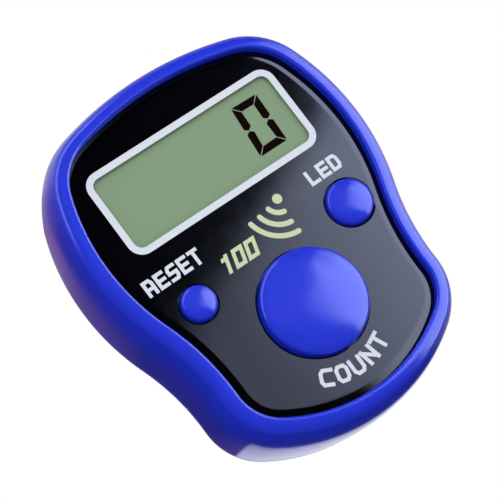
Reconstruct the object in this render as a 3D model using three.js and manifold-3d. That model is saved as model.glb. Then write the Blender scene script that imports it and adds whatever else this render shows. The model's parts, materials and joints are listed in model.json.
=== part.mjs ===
// Digital hand tally counter: a bell-shaped glossy housing with a rolled rim round a flat face plate,
// a liquid-crystal display, one large and two small domed push buttons, and the parts it needs inside.
// Millimetres. +Z out of the face, +Y towards the display, the flat back on z = 0, X and Y centred.
import * as THREE from "three";
import { mergeVertices } from "three/addons/utils/BufferGeometryUtils.js";
import Module from "manifold-3d";

// Face outline: one closed chain of tangent arcs, the same left and right
const FACE_LENGTH = 37.8;
const FACE_WIDTH = 29.65;
const FOOT_WIDTH = 23.8;
const WIDEST_Y = 5.75;
const TOP_RADIUS = 34.7;
const SHOULDER_RADIUS = 6.0;
const FLANK_RADIUS = 23.5;
const WAIST_RADIUS = 26.6;
const FOOT_RADIUS = 4.8;
const BOTTOM_RADIUS = 17.8;

// Housing wall and rolled rim, measured out from the face outline. The rim turns by RIM_TURN degrees over its
// crest, and on to upright in the wider roll of the wall.
const RIM_REACH = 2.42;
const RIM_HEIGHT = 1.3;
const RIM_CREST_RADIUS = 1.0;
const RIM_TURN = 69;
const RIM_ROLL_RADIUS = 11.7;
const WALL_DRAFT = 0.5;
const BACK_EDGE_ROUND = 0.3;
const HOUSING_WALL = 1.4;
const DECK_THICKNESS = 1.2;
const COVER_LIP = 0.9;

// Clearances
const SIDE_FIT = 0.15;
const LAY = 0.1;
const BUTTON_GAP = 0.25;
const SCREW_FIT = 0.1;

// Face plate and display. An inset is a place's distance from the nearest edge of the face outline, and a
// drop is its distance below the outline's widest line.
const PLATE_THICKNESS = 0.8;
const PLATE_EDGE_WIDTH = 0.75;
const PLATE_EDGE_DROP = 0.12;
const DISPLAY_INSET = 9.05;
const WINDOW_WIDTH = 22.8;
const WINDOW_HEIGHT = 9.3;
const WINDOW_CORNER = 1.3;
const GLASS_WIDTH = 23.4;
const GLASS_HEIGHT = 10.8;
const GLASS_THICKNESS = 0.5;
const FILM_THICKNESS = 0.2;
const FILM_INSET = 0.3;
const CONTACT_LEDGE = 1.4;
const ZEBRA_WIDTH = 1.0;
const ZEBRA_LENGTH = 21.0;
const DIFFUSER_THICKNESS = 1.0;
const DIFFUSER_FOOT = 1.4;

// Push buttons. All three stand a little to the right of the middle.
const BUTTON_TRAVEL = 0.4;
const BUTTON_SHIFT = 0.25;
const COUNT_RADIUS = 5.6;
const COUNT_INSET = 10.45;
const COUNT_RISE = 2.2;
const COUNT_SIDE = 0.8;
const COUNT_FULLNESS = 2.2;
const LED_RADIUS = 2.48;
const RESET_RADIUS = 1.88;
const SMALL_BUTTON_INSET = 5.2;
const SMALL_BUTTON_DROP = 7.88;
const SMALL_RISE = 1.15;
const SMALL_SIDE = 0.15;
const SMALL_FULLNESS = 2.6;
const FLANGE_WIDTH = 0.7;
const FLANGE_THICKNESS = 0.8;
const CAP_WALL = 1.0;
const POST_RADIUS = 1.0;

// Tactile switches under the buttons
const SWITCH_SIDE = 3.6;
const SWITCH_FLOOR = 0.2;
const SWITCH_WELL_RADIUS = 1.4;
const SWITCH_LID = 0.2;
const PLUNGER_RADIUS = 0.7;
const PLUNGER_FOOT = 0.3;
const SNAP_DOME_SHEET = 0.08;

// Circuit board and what is soldered on it
const BOARD_THICKNESS = 1.0;
const BOARD_CLEAR = 0.4;
const BOARD_TOP_INSET = 3.5;
const BOARD_BOTTOM_INSET = 6.3;
const CHIP_RADIUS = 2.5;
const CHIP_HEIGHT = 1.1;
const CHIP_DROP = 5.5;
const CHIP_SPACE = 1.0;
const LAMP_SIZE = [1.6, 1.2, 0.9];
const RESISTOR_SIZE = [1.6, 0.8, 0.5];
const CAPACITOR_SIZE = [2.0, 1.25, 0.9];

// Button cells, their well, door and contacts
const CELL_DIAMETER = 11.6;
const CELL_HEIGHT = 3.05;
const CELL_CAP_DIAMETER = 9.2;
const CELL_CAP_HEIGHT = 0.45;
const CELL_SPACE = 0.8;
const CELL_CLEAR = 0.3;
const WELL_WALL = 1.2;
const DOOR_LEDGE = 0.7;
const WELL_LEDGE = 0.2;
const CONTACT_SHEET = 0.2;
const CONTACT_ROOM = 0.6;
const CONTACT_WIDTH = 3.0;
const CONTACT_CURL = 0.9;
const HOOK_WIDTH = 1.5;
const HOOK_SIDE_GAP = 0.4;
const HOOK_GAP = 0.2;
const HOOK_THICKNESS = 0.6;
const HOOK_REACH = 0.7;

// Rear cover
const COVER_THICKNESS = 1.2;
const COVER_EDGE_CHAMFER = 0.2;
const STRAP_GAP = 1.6;
const STRAP_BAR_WIDTH = 1.4;
const STRAP_BAR_INSET = 2.95;
const STRAP_BOSS_GAP = 2.7;
const STRAP_DEPTH = 2.6;
const STRAP_WALL = 0.7;

// Sounder
const BUZZER_GAP = 1.2;
const BUZZER_SIDE_GAP = 0.7;
const CERAMIC_INSET = 1.5;
const BUZZER_SHEET = 0.2;
const BUZZER_RING_HEIGHT = 0.5;
const BUZZER_RING_WIDTH = 0.9;
const SOUND_HOLE_RADIUS = 0.4;
const SOUND_HOLE_PITCH = 1.8;
const LEAD_RADIUS = 0.2;
const LEAD_SWAY = 1.6;

// Screws and the bosses that take them
const SCREW_RADIUS = 0.5;
const SCREW_TIP_RADIUS = 0.15;
const SCREW_LENGTH = 4.2;
const SCREW_HEAD_RADIUS = 1.15;
const SCREW_HEAD_HEIGHT = 0.65;
const SCREW_CROSS_LENGTH = 1.3;
const SCREW_CROSS_WIDTH = 0.3;
const SCREW_CROSS_DEPTH = 0.35;
const BOARD_SCREW_LENGTH = 2.6;
const DOOR_SCREW_LENGTH = 3.3;
const CASE_BOSS_RADIUS = 1.5;
const BOARD_BOSS_RADIUS = 1.4;
const DOOR_BOSS_RADIUS = 1.3;
const RIB_THICKNESS = 0.8;
const TOP_BOSS_INSET = 1.3;
const BOTTOM_BOSS_INSET = 4.3;
const BOTTOM_BOSS_SIDE_INSET = 4.05;
const BOARD_BOSS_INSET = 1.85;
const BOARD_BOSS_DROP = 3.3;
const DOOR_BOSS_INSET = 1.0;

// Facets
const ARC_STEPS = { top: 4, shoulder: 8, flank: 6, waist: 4, foot: 6, bottom: 5 };
const ROLL_STEPS = 3;
const CREST_STEPS = 4;
const INNER_STEPS = 3;
const EDGE_STEPS = 2;
const DOME_STEPS = 7;
const SNAP_STEPS = 3;
const LARGE_ROUND = 40;
const SMALL_ROUND = 20;
const SCREW_ROUND = 10;
const STADIUM_STEPS = 12;
const CORNER_STEPS = 6;
const LEAD_STEPS = 8;
const LEAD_SECTION_STEPS = 4;
const WELD = 1e-4;
const THROUGH = 1.0;

// Heights, stacked from the back to the rim
const doorThickness = COVER_THICKNESS - WELL_LEDGE - LAY;
const linkBottom = doorThickness + LAY;
const cellBottom = linkBottom + CONTACT_SHEET + LAY;
const cellTop = cellBottom + CELL_HEIGHT;
const boardBottom = cellTop + CONTACT_ROOM;
const boardTop = boardBottom + BOARD_THICKNESS;
const partsSeat = boardTop + LAY;
const snapDomeFoot = partsSeat + SWITCH_FLOOR + LAY;
const snapDomeTop = snapDomeFoot + BUTTON_TRAVEL + SNAP_DOME_SHEET;
const plungerFoot = snapDomeTop + LAY;
const switchTop = plungerFoot + PLUNGER_FOOT + LAY;
const lidTop = switchTop + LAY + SWITCH_LID;
const plungerTop = lidTop + BUTTON_TRAVEL + LAY;
const flangeBottom = plungerTop + LAY;
const flangeTop = flangeBottom + FLANGE_THICKNESS;
const deckBottom = flangeTop + LAY;
const deckTop = deckBottom + DECK_THICKNESS;
const plateBottom = deckTop + LAY;
const plateTop = plateBottom + PLATE_THICKNESS;
const rimTop = plateTop + RIM_HEIGHT;

// The rim's section: the centres of its roll and crest, and the radius of its fall into the plate's pocket
const rimTurn = THREE.MathUtils.degToRad(RIM_TURN);
const rollMiddle = RIM_REACH - RIM_ROLL_RADIUS;
const crestMiddle = rollMiddle + (RIM_ROLL_RADIUS - RIM_CREST_RADIUS) * Math.sin(rimTurn);
const crestHeight = rimTop - RIM_CREST_RADIUS;
const rollHeight = crestHeight - (RIM_ROLL_RADIUS - RIM_CREST_RADIUS) * Math.cos(rimTurn);
const rimInnerRadius = crestMiddle - SIDE_FIT;

// Offsets from the face outline
const wallBack = RIM_REACH - WALL_DRAFT;
const cavityOffset = wallBack - HOUSING_WALL;
const rebateOffset = wallBack - COVER_LIP;
const coverOffset = rebateOffset - SIDE_FIT;
const boardOffset = cavityOffset - BOARD_CLEAR;

// Places on the face and of the bosses, from the edges of the face outline
const topEdge = FACE_LENGTH / 2;
const displayY = topEdge - DISPLAY_INSET;
const countY = COUNT_INSET - topEdge;
const smallButtonX = FACE_WIDTH / 2 - SMALL_BUTTON_INSET;
const smallButtonY = WIDEST_Y - SMALL_BUTTON_DROP;
const chipY = WIDEST_Y - CHIP_DROP;
const topBossY = topEdge - TOP_BOSS_INSET;
const bottomBossX = FOOT_WIDTH / 2 - BOTTOM_BOSS_SIDE_INSET;
const bottomBossY = BOTTOM_BOSS_INSET - topEdge;
const boardBossX = FACE_WIDTH / 2 - BOARD_BOSS_INSET;
const boardBossY = WIDEST_Y - BOARD_BOSS_DROP;

// The cells hang below the top boss, the strap loops reach from their well to the bottom bosses, and the
// sounder lies between the loops
const cellRadius = CELL_DIAMETER / 2;
const cellX = cellRadius + CELL_SPACE / 2;
const wellRadius = cellRadius + CELL_CLEAR;
const doorRadius = wellRadius + DOOR_LEDGE;
const hookX = CASE_BOSS_RADIUS + HOOK_SIDE_GAP + HOOK_WIDTH / 2;
const cellsY = topBossY - CASE_BOSS_RADIUS - HOOK_GAP - HOOK_REACH - doorRadius;
const doorScrewY = cellsY - wellRadius + DOOR_BOSS_INSET;
const wellFootY = cellsY - wellRadius - WELL_WALL;
const strapTopY = wellFootY - LAY;
const strapFootY = bottomBossY + CASE_BOSS_RADIUS + STRAP_BOSS_GAP;
const strapBarX = FOOT_WIDTH / 2 - STRAP_BAR_INSET;
const strapBarY = (strapTopY + strapFootY) / 2;
const strapSlotLength = strapTopY - strapFootY - 2 * STRAP_WALL;
const strapReach = STRAP_BAR_WIDTH / 2 + STRAP_GAP;
const buzzerRadius = strapBarX - strapReach - STRAP_WALL - BUZZER_SIDE_GAP;
const buzzerY = wellFootY - BUZZER_GAP - buzzerRadius;
const ceramicRadius = buzzerRadius - CERAMIC_INSET;

const wasm = await Module();
wasm.setup();

// A closed geometry as a solid with its faces turned outwards.
function solidOf(geometry) {
  const bare = new THREE.BufferGeometry();
  bare.setAttribute("position", geometry.getAttribute("position"));
  bare.setIndex(geometry.index);
  const welded = mergeVertices(bare, WELD);
  const corners = welded.index.array;
  const kept = [];
  for (let i = 0; i < corners.length; i += 3) {
    const [a, b, c] = corners.slice(i, i + 3);
    if (a !== b && b !== c && c !== a) kept.push(a, b, c);
  }
  const build = (triVerts) =>
    new wasm.Manifold(
      new wasm.Mesh({
        numProp: 3,
        vertProperties: welded.getAttribute("position").array,
        triVerts: new Uint32Array(triVerts),
      }),
    );
  const made = build(kept);
  return made.volume() < 0 ? build(kept.reverse()) : made;
}

// A solid's surface as a flat-shaded geometry.
function geometryOf(solid) {
  const surface = solid.getMesh();
  const geometry = new THREE.BufferGeometry();
  geometry.setAttribute("position", new THREE.BufferAttribute(surface.vertProperties, 3));
  geometry.setIndex(new THREE.BufferAttribute(surface.triVerts, 1));
  const flat = geometry.toNonIndexed();
  flat.computeVertexNormals();
  return flat;
}

const joined = (first, ...others) => others.reduce((sum, next) => sum.add(next), first);
const cut = (first, ...others) => others.reduce((rest, next) => rest.subtract(next), first);

// An upright cylinder, or a cone where the two radii differ, from z = low to z = high.
function post(x, y, low, high, radius, topRadius = radius, sides = SMALL_ROUND) {
  const geometry = new THREE.CylinderGeometry(topRadius, radius, high - low, sides);
  geometry.rotateX(Math.PI / 2).translate(x, y, (low + high) / 2);
  return solidOf(geometry);
}

// A block from its lowest to its highest corner.
function block(x0, y0, z0, x1, y1, z1) {
  const geometry = new THREE.BoxGeometry(x1 - x0, y1 - y0, z1 - z0);
  return solidOf(geometry.translate((x0 + x1) / 2, (y0 + y1) / 2, (z0 + z1) / 2));
}

// A block centred on x, y.
function slab(x, y, width, height, low, high) {
  return block(x - width / 2, y - height / 2, low, x + width / 2, y + height / 2, high);
}

// A flat outline raised from z = low to z = high.
function prism(shape, low, high, curveSegments = CORNER_STEPS) {
  const settings = { depth: high - low, bevelEnabled: false, curveSegments };
  return solidOf(new THREE.ExtrudeGeometry(shape, settings).translate(0, 0, low));
}

// A profile of [radius, height] pairs turned about the upright axis through x, y.
function turned(profile, x, y, sides = LARGE_ROUND) {
  const points = profile.map(([radius, height]) => new THREE.Vector2(radius, height));
  return solidOf(new THREE.LatheGeometry(points, sides).rotateX(Math.PI / 2).translate(x, y, 0));
}

// The profile of a dome as [radius, height] pairs from its foot to its top on the axis. A fullness of 2 is an
// ellipse, and more makes the shoulder squarer.
function quarter(radius, low, high, steps, fullness = 2) {
  const profile = [];
  for (let i = 0; i < steps; i += 1) {
    const angle = (i / steps) * (Math.PI / 2);
    profile.push([
      radius * Math.cos(angle) ** (2 / fullness),
      low + (high - low) * Math.sin(angle) ** (2 / fullness),
    ]);
  }
  return [...profile, [0, high]];
}

// A rectangle with round corners, centred on x, y.
function roundedRectangle(x, y, width, height, radius) {
  const [right, top] = [width / 2 - radius, height / 2 - radius];
  const shape = new THREE.Shape();
  shape.absarc(x + right, y + top, radius, 0, Math.PI / 2);
  shape.absarc(x - right, y + top, radius, Math.PI / 2, Math.PI);
  shape.absarc(x - right, y - top, radius, Math.PI, Math.PI * 1.5);
  shape.absarc(x + right, y - top, radius, Math.PI * 1.5, Math.PI * 2);
  shape.closePath();
  return shape;
}

// The outline round both button cells: two half circles joined by straights.
function stadium(radius) {
  const shape = new THREE.Shape();
  shape.absarc(cellX, cellsY, radius, -Math.PI / 2, Math.PI / 2);
  shape.absarc(-cellX, cellsY, radius, Math.PI / 2, Math.PI * 1.5);
  shape.closePath();
  return shape;
}

// The right half of the face outline as arcs from the top centre to the bottom centre. Moving the outline
// out by an offset keeps the centres: the round arcs grow and the hollow waist arc shrinks.
const topCentre = new THREE.Vector2(0, FACE_LENGTH / 2 - TOP_RADIUS);
const flankCentre = new THREE.Vector2(FACE_WIDTH / 2 - FLANK_RADIUS, WIDEST_Y);
const shoulderCentre = insideBoth(
  topCentre,
  TOP_RADIUS - SHOULDER_RADIUS,
  flankCentre,
  FLANK_RADIUS - SHOULDER_RADIUS,
);
const waistCentre = below(flankCentre, FOOT_WIDTH / 2 + WAIST_RADIUS, FLANK_RADIUS + WAIST_RADIUS);
const bottomCentre = new THREE.Vector2(0, BOTTOM_RADIUS - FACE_LENGTH / 2);
const footCentre = below(bottomCentre, FOOT_WIDTH / 2 - FOOT_RADIUS, BOTTOM_RADIUS - FOOT_RADIUS);

// The right-hand point at the given distances from two centres.
function insideBoth(first, firstDistance, second, secondDistance) {
  const between = second.clone().sub(first);
  const apart = between.length();
  const along = (firstDistance ** 2 - secondDistance ** 2 + apart ** 2) / (2 * apart);
  const aside = Math.sqrt(firstDistance ** 2 - along ** 2);
  const unit = between.divideScalar(apart);
  const square = new THREE.Vector2(unit.y, -unit.x);
  return first.clone().addScaledVector(unit, along).addScaledVector(square, aside);
}

// The point with the given x that lies below a centre at the given distance.
function below(centre, x, distance) {
  return new THREE.Vector2(x, centre.y - Math.sqrt(distance ** 2 - (x - centre.x) ** 2));
}

function bearing(from, to) {
  return Math.atan2(to.y - from.y, to.x - from.x);
}

function faceArcs(offset) {
  const shoulderStart = bearing(topCentre, shoulderCentre);
  const flankStart = bearing(flankCentre, shoulderCentre);
  const flankEnd = bearing(flankCentre, waistCentre);
  const footEnd = bearing(bottomCentre, footCentre);
  return [
    [topCentre, TOP_RADIUS + offset, Math.PI / 2, shoulderStart, ARC_STEPS.top],
    [shoulderCentre, SHOULDER_RADIUS + offset, shoulderStart, flankStart, ARC_STEPS.shoulder],
    [flankCentre, FLANK_RADIUS + offset, flankStart, flankEnd, ARC_STEPS.flank],
    [waistCentre, WAIST_RADIUS - offset, flankEnd + Math.PI, Math.PI, ARC_STEPS.waist],
    [footCentre, FOOT_RADIUS + offset, 0, footEnd, ARC_STEPS.foot],
    [bottomCentre, BOTTOM_RADIUS + offset, footEnd, -Math.PI / 2, ARC_STEPS.bottom],
  ];
}

// The whole face outline, moved out by an offset, as points from the top centre clockwise.
function facePoints(offset) {
  const right = [];
  for (const [centre, radius, from, to, steps] of faceArcs(offset)) {
    const first = centre === footCentre ? 0 : 1;
    for (let i = first; i <= steps; i += 1) {
      const angle = from + ((to - from) * i) / steps;
      const spoke = new THREE.Vector2(Math.cos(angle), Math.sin(angle));
      right.push(spoke.multiplyScalar(radius).add(centre));
    }
  }
  const top = new THREE.Vector2(0, FACE_LENGTH / 2 + offset);
  const left = right.slice(0, -1).reverse().map((point) => new THREE.Vector2(-point.x, point.y));
  return [top, ...right, ...left];
}

// A body lofted through copies of the face outline, each given as [offset, height], with flat ends.
function loft(levels) {
  const rings = levels.map(([offset, height]) => ({ points: facePoints(offset), height }));
  const count = rings[0].points.length;
  const positions = rings.flatMap(({ points, height }) => points.flatMap(({ x, y }) => [x, y, height]));
  const index = [];
  for (let level = 0; level < rings.length - 1; level += 1) {
    for (let i = 0; i < count; i += 1) {
      const next = (i + 1) % count;
      const [a, b] = [level * count + i, level * count + next];
      index.push(b, a, a + count, b, a + count, b + count);
    }
  }
  const lastRing = (rings.length - 1) * count;
  for (const [a, b, c] of THREE.ShapeUtils.triangulateShape(rings[0].points, [])) {
    index.push(a, c, b);
  }
  for (const [a, b, c] of THREE.ShapeUtils.triangulateShape(rings.at(-1).points, [])) {
    index.push(lastRing + a, lastRing + b, lastRing + c);
  }
  const geometry = new THREE.BufferGeometry();
  geometry.setAttribute("position", new THREE.Float32BufferAttribute(positions, 3));
  geometry.setIndex(index);
  return solidOf(geometry);
}

const glossyBlue = { color: 0x2032ba, roughness: 0.18, metalness: 0 };
const glossyBlack = { color: 0x060609, roughness: 0.08, metalness: 0 };
const darkPlastic = { color: 0x1b1b1e, roughness: 0.5, metalness: 0 };
const clearGlass = { color: 0xdfe8e4, roughness: 0.05, metalness: 0 };
const displayFilm = { color: 0x84a082, roughness: 0.3, metalness: 0 };
const milkPlastic = { color: 0xe6e8e2, roughness: 0.45, metalness: 0 };
const elastomer = { color: 0x4a4648, roughness: 0.8, metalness: 0 };
const boardGreen = { color: 0x1c6b3c, roughness: 0.45, metalness: 0 };
const steel = { color: 0xb4b6ba, roughness: 0.3, metalness: 1 };
const brass = { color: 0xc8a050, roughness: 0.3, metalness: 1 };
const ceramic = { color: 0xece6d8, roughness: 0.6, metalness: 0 };
const wireRed = { color: 0xa81e1e, roughness: 0.5, metalness: 0 };

const counter = new THREE.Group();

function piece(name, solid, look) {
  const mesh = new THREE.Mesh(geometryOf(solid), new THREE.MeshStandardMaterial(look));
  mesh.name = name;
  counter.add(mesh);
}

const countButton = { y: countY, rise: COUNT_RISE, side: COUNT_SIDE, fullness: COUNT_FULLNESS };
const smallButton = { y: smallButtonY, rise: SMALL_RISE, side: SMALL_SIDE, fullness: SMALL_FULLNESS };
const buttons = [
  { name: "count", x: BUTTON_SHIFT, radius: COUNT_RADIUS, ...countButton },
  { name: "led", x: smallButtonX + BUTTON_SHIFT, radius: LED_RADIUS, ...smallButton },
  { name: "reset", x: BUTTON_SHIFT - smallButtonX, radius: RESET_RADIUS, ...smallButton },
];
const caseScrews = [
  { name: "case_screw_top", x: 0, y: topBossY },
  { name: "case_screw_left", x: -bottomBossX, y: bottomBossY },
  { name: "case_screw_right", x: bottomBossX, y: bottomBossY },
];
const boardScrews = [
  { name: "board_screw_left", x: -boardBossX, y: boardBossY },
  { name: "board_screw_right", x: boardBossX, y: boardBossY },
];

function buttonHoles(low, high) {
  return buttons.map(({ x, y, radius }) =>
    post(x, y, low, high, radius + BUTTON_GAP, radius + BUTTON_GAP, LARGE_ROUND),
  );
}

// Points of an arc in a section through the edge, as [offset, height], without its first one. The angle is
// nought straight up and grows outwards.
function sectionArc([offset, height], radius, from, to, steps) {
  const points = [];
  for (let i = 1; i <= steps; i += 1) {
    const angle = from + ((to - from) * i) / steps;
    points.push([offset + radius * Math.sin(angle), height + radius * Math.cos(angle)]);
  }
  return points;
}

// The housing: the wall stands slightly inwards to the back, rolls over to the rim's crest and rounds down
// into the pocket that holds the face plate.
function frontHousing() {
  const levels = [
    [wallBack - BACK_EDGE_ROUND, 0],
    [wallBack, BACK_EDGE_ROUND],
    [RIM_REACH, rollHeight],
    ...sectionArc([rollMiddle, rollHeight], RIM_ROLL_RADIUS, Math.PI / 2, rimTurn, ROLL_STEPS),
    ...sectionArc([crestMiddle, crestHeight], RIM_CREST_RADIUS, rimTurn, 0, CREST_STEPS),
    ...sectionArc([crestMiddle, rimTop - rimInnerRadius], rimInnerRadius, 0, -Math.PI / 2, INNER_STEPS),
    [SIDE_FIT, deckTop],
  ];
  const shell = cut(
    loft(levels),
    loft([
      [cavityOffset, -THROUGH],
      [cavityOffset, deckBottom],
    ]),
    loft([
      [rebateOffset, -THROUGH],
      [rebateOffset, COVER_THICKNESS + LAY],
    ]),
  );
  const inside = loft([
    [(cavityOffset + wallBack) / 2, COVER_THICKNESS + LAY],
    [(cavityOffset + wallBack) / 2, deckBottom + DECK_THICKNESS / 2],
  ]);
  const bossFoot = COVER_THICKNESS + LAY;
  const wallY = topEdge + wallBack;
  const [topScrew, ...bottomScrews] = caseScrews;
  const stiffeners = joined(
    ...caseScrews.map(({ x, y }) => post(x, y, bossFoot, deckBottom + LAY, CASE_BOSS_RADIUS)),
    ...boardScrews.map(({ x, y }) => post(x, y, partsSeat, deckBottom + LAY, BOARD_BOSS_RADIUS)),
    slab(0, (topScrew.y + wallY) / 2, RIB_THICKNESS, wallY - topScrew.y, bossFoot, deckBottom + LAY),
    ...bottomScrews.map((each) => sideRib(each, bossFoot)),
    ...boardScrews.map((each) => sideRib(each, partsSeat)),
  ).intersect(inside);
  const glass = slab(
    0,
    displayY,
    GLASS_WIDTH + 2 * SIDE_FIT,
    GLASS_HEIGHT + 2 * SIDE_FIT,
    deckBottom - THROUGH,
    deckTop + THROUGH,
  );
  const pilots = [
    ...caseScrews.map(({ x, y }) => pilot(x, y, -THROUGH, SCREW_LENGTH + 2 * LAY)),
    ...boardScrews.map(({ x, y }) => pilot(x, y, 0, boardScrewTip + LAY)),
  ];
  const holes = buttonHoles(deckBottom - THROUGH, deckTop + THROUGH);
  return cut(joined(shell, stiffeners), glass, ...holes, ...pilots);
}

// A rib from a boss out to the side wall.
function sideRib({ x, y }, low) {
  const wallX = Math.sign(x) * (FACE_WIDTH / 2 + wallBack);
  return slab((x + wallX) / 2, y, Math.abs(wallX - x), RIB_THICKNESS, low, deckBottom + LAY);
}

// The hole that a screw's thread runs in.
function pilot(x, y, low, high) {
  const radius = SCREW_RADIUS + SCREW_FIT;
  return post(x, y, low, high, radius, radius, SCREW_ROUND);
}

// A self-tapping screw driven in from the back: head at the low end, flat or countersunk, cross recess.
function screw(x, y, seat, length, countersunk) {
  const head = countersunk ? SCREW_RADIUS : SCREW_HEAD_RADIUS;
  const body = turned(
    [
      [0, seat],
      [SCREW_HEAD_RADIUS, seat],
      [head, seat + SCREW_HEAD_HEIGHT],
      [SCREW_RADIUS, seat + SCREW_HEAD_HEIGHT],
      [SCREW_RADIUS, seat + length - SCREW_RADIUS],
      [SCREW_TIP_RADIUS, seat + length],
      [0, seat + length],
    ],
    x,
    y,
    SCREW_ROUND,
  );
  const [low, high] = [seat - THROUGH, seat + SCREW_CROSS_DEPTH];
  return cut(
    body,
    slab(x, y, SCREW_CROSS_LENGTH, SCREW_CROSS_WIDTH, low, high),
    slab(x, y, SCREW_CROSS_WIDTH, SCREW_CROSS_LENGTH, low, high),
  );
}

// The hole and countersink that a screw head sinks into.
function countersink(x, y, depth) {
  const wide = SCREW_HEAD_RADIUS + SCREW_FIT;
  const narrow = SCREW_RADIUS + SCREW_FIT;
  const profile = [
    [0, -THROUGH],
    [wide, -THROUGH],
    [wide, LAY],
    [narrow, LAY + SCREW_HEAD_HEIGHT],
    [narrow, depth],
    [0, depth],
  ];
  return turned(profile, x, y, SMALL_ROUND);
}

const boardScrewTip = boardBottom - LAY - SCREW_HEAD_HEIGHT + BOARD_SCREW_LENGTH;

// The face plate: flat, with its top edge eased down all round.
function facePlate() {
  const edgeTurn = 2 * Math.atan2(PLATE_EDGE_DROP, PLATE_EDGE_WIDTH);
  const edgeRadius = PLATE_EDGE_WIDTH / Math.sin(edgeTurn);
  const body = loft([
    [0, plateBottom],
    [0, plateTop - PLATE_EDGE_DROP],
    ...sectionArc([-PLATE_EDGE_WIDTH, plateTop - edgeRadius], edgeRadius, edgeTurn, 0, EDGE_STEPS),
  ]);
  const window = roundedRectangle(
    0,
    displayY,
    WINDOW_WIDTH + 2 * SIDE_FIT,
    WINDOW_HEIGHT + 2 * SIDE_FIT,
    WINDOW_CORNER + SIDE_FIT,
  );
  const [low, high] = [plateBottom - THROUGH, plateTop + THROUGH];
  return cut(body, prism(window, low, high), ...buttonHoles(low, high));
}

// Display: window, upper film, upper glass, lower glass with its contact ledge left bare, mirror film.
const filmTop = plateBottom - LAY;
const upperGlassTop = filmTop - FILM_THICKNESS - LAY;
const lowerGlassTop = upperGlassTop - GLASS_THICKNESS - LAY;
const reflectorTop = lowerGlassTop - GLASS_THICKNESS - LAY;
const diffuserTop = reflectorTop - FILM_THICKNESS - LAY;
const lowerGlassHeight = GLASS_HEIGHT - CONTACT_LEDGE;
const lowerGlassY = displayY + CONTACT_LEDGE / 2;
const ledgeY = displayY - GLASS_HEIGHT / 2 + CONTACT_LEDGE / 2;
const filmWidth = GLASS_WIDTH - 2 * FILM_INSET;
const lowerFilmHeight = lowerGlassHeight - 2 * FILM_INSET;

function diffuser() {
  const plateFoot = diffuserTop - DIFFUSER_THICKNESS;
  const plate = slab(0, lowerGlassY, filmWidth, lowerFilmHeight, plateFoot, diffuserTop);
  const right = (filmWidth - DIFFUSER_FOOT) / 2;
  const up = (lowerFilmHeight - DIFFUSER_FOOT) / 2;
  const feet = [-right, right].flatMap((x) =>
    [lowerGlassY - up, lowerGlassY + up].map((y) =>
      slab(x, y, DIFFUSER_FOOT, DIFFUSER_FOOT, partsSeat, plateFoot + LAY),
    ),
  );
  return joined(plate, ...feet);
}

function displayPieces() {
  const opening = roundedRectangle(0, displayY, WINDOW_WIDTH, WINDOW_HEIGHT, WINDOW_CORNER);
  piece("display_window", prism(opening, plateBottom, plateTop), clearGlass);
  const film = (y, height, top) => slab(0, y, filmWidth, height, top - FILM_THICKNESS, top);
  const glass = (y, height, top) => slab(0, y, GLASS_WIDTH, height, top - GLASS_THICKNESS, top);
  piece("upper_polariser", film(displayY, GLASS_HEIGHT - 2 * FILM_INSET, filmTop), displayFilm);
  piece("upper_display_glass", glass(displayY, GLASS_HEIGHT, upperGlassTop), clearGlass);
  piece("lower_display_glass", glass(lowerGlassY, lowerGlassHeight, lowerGlassTop), clearGlass);
  piece("display_reflector", film(lowerGlassY, lowerFilmHeight, reflectorTop), displayFilm);
  piece("backlight_diffuser", diffuser(), milkPlastic);
  const zebraTop = upperGlassTop - GLASS_THICKNESS - LAY;
  piece("zebra_strip", slab(0, ledgeY, ZEBRA_LENGTH, ZEBRA_WIDTH, partsSeat, zebraTop), elastomer);
}

// A push button: a hollow domed cap with a middle post and a flange that stops it under the deck.
function button({ x, y, radius, rise, side, fullness }) {
  const profile = [
    [0, flangeBottom],
    [POST_RADIUS, flangeBottom],
    [POST_RADIUS, deckTop],
    [radius - CAP_WALL, deckTop],
    [radius - CAP_WALL, flangeBottom],
    [radius + FLANGE_WIDTH, flangeBottom],
    [radius + FLANGE_WIDTH, flangeTop],
    [radius, flangeTop],
  ];
  const solidPost = radius - CAP_WALL - POST_RADIUS < CAP_WALL;
  const start = solidPost ? [[0, flangeBottom], ...profile.slice(5)] : profile;
  const dome = quarter(radius, plateTop + side, plateTop + rise, DOME_STEPS, fullness);
  return turned([...start, ...dome], x, y, solidPost ? SMALL_ROUND : LARGE_ROUND);
}

// A tactile switch: base with a round well, snap dome, plunger and pressed lid.
function switchPieces({ name, x, y }) {
  const base = cut(
    slab(x, y, SWITCH_SIDE, SWITCH_SIDE, partsSeat, switchTop),
    post(x, y, partsSeat + SWITCH_FLOOR, switchTop + THROUGH, SWITCH_WELL_RADIUS),
  );
  piece(`${name}_switch_base`, base, darkPlastic);
  const lid = cut(
    slab(x, y, SWITCH_SIDE, SWITCH_SIDE, switchTop + LAY, lidTop),
    post(x, y, switchTop, lidTop + THROUGH, PLUNGER_RADIUS + SIDE_FIT),
  );
  piece(`${name}_switch_lid`, lid, steel);
  const footRadius = SWITCH_WELL_RADIUS - SIDE_FIT;
  const plunger = turned(
    [
      [0, plungerFoot],
      [footRadius, plungerFoot],
      [footRadius, plungerFoot + PLUNGER_FOOT],
      [PLUNGER_RADIUS, plungerFoot + PLUNGER_FOOT],
      [PLUNGER_RADIUS, plungerTop],
      [0, plungerTop],
    ],
    x,
    y,
    SMALL_ROUND,
  );
  piece(`${name}_switch_plunger`, plunger, darkPlastic);
  const hollowTop = snapDomeTop - SNAP_DOME_SHEET;
  const over = quarter(footRadius, snapDomeFoot, snapDomeTop, SNAP_STEPS);
  const under = quarter(footRadius - SNAP_DOME_SHEET, snapDomeFoot, hollowTop, SNAP_STEPS);
  piece(`${name}_snap_dome`, turned([...over, ...under.reverse(), over[0]], x, y, SMALL_ROUND), steel);
}

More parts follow.
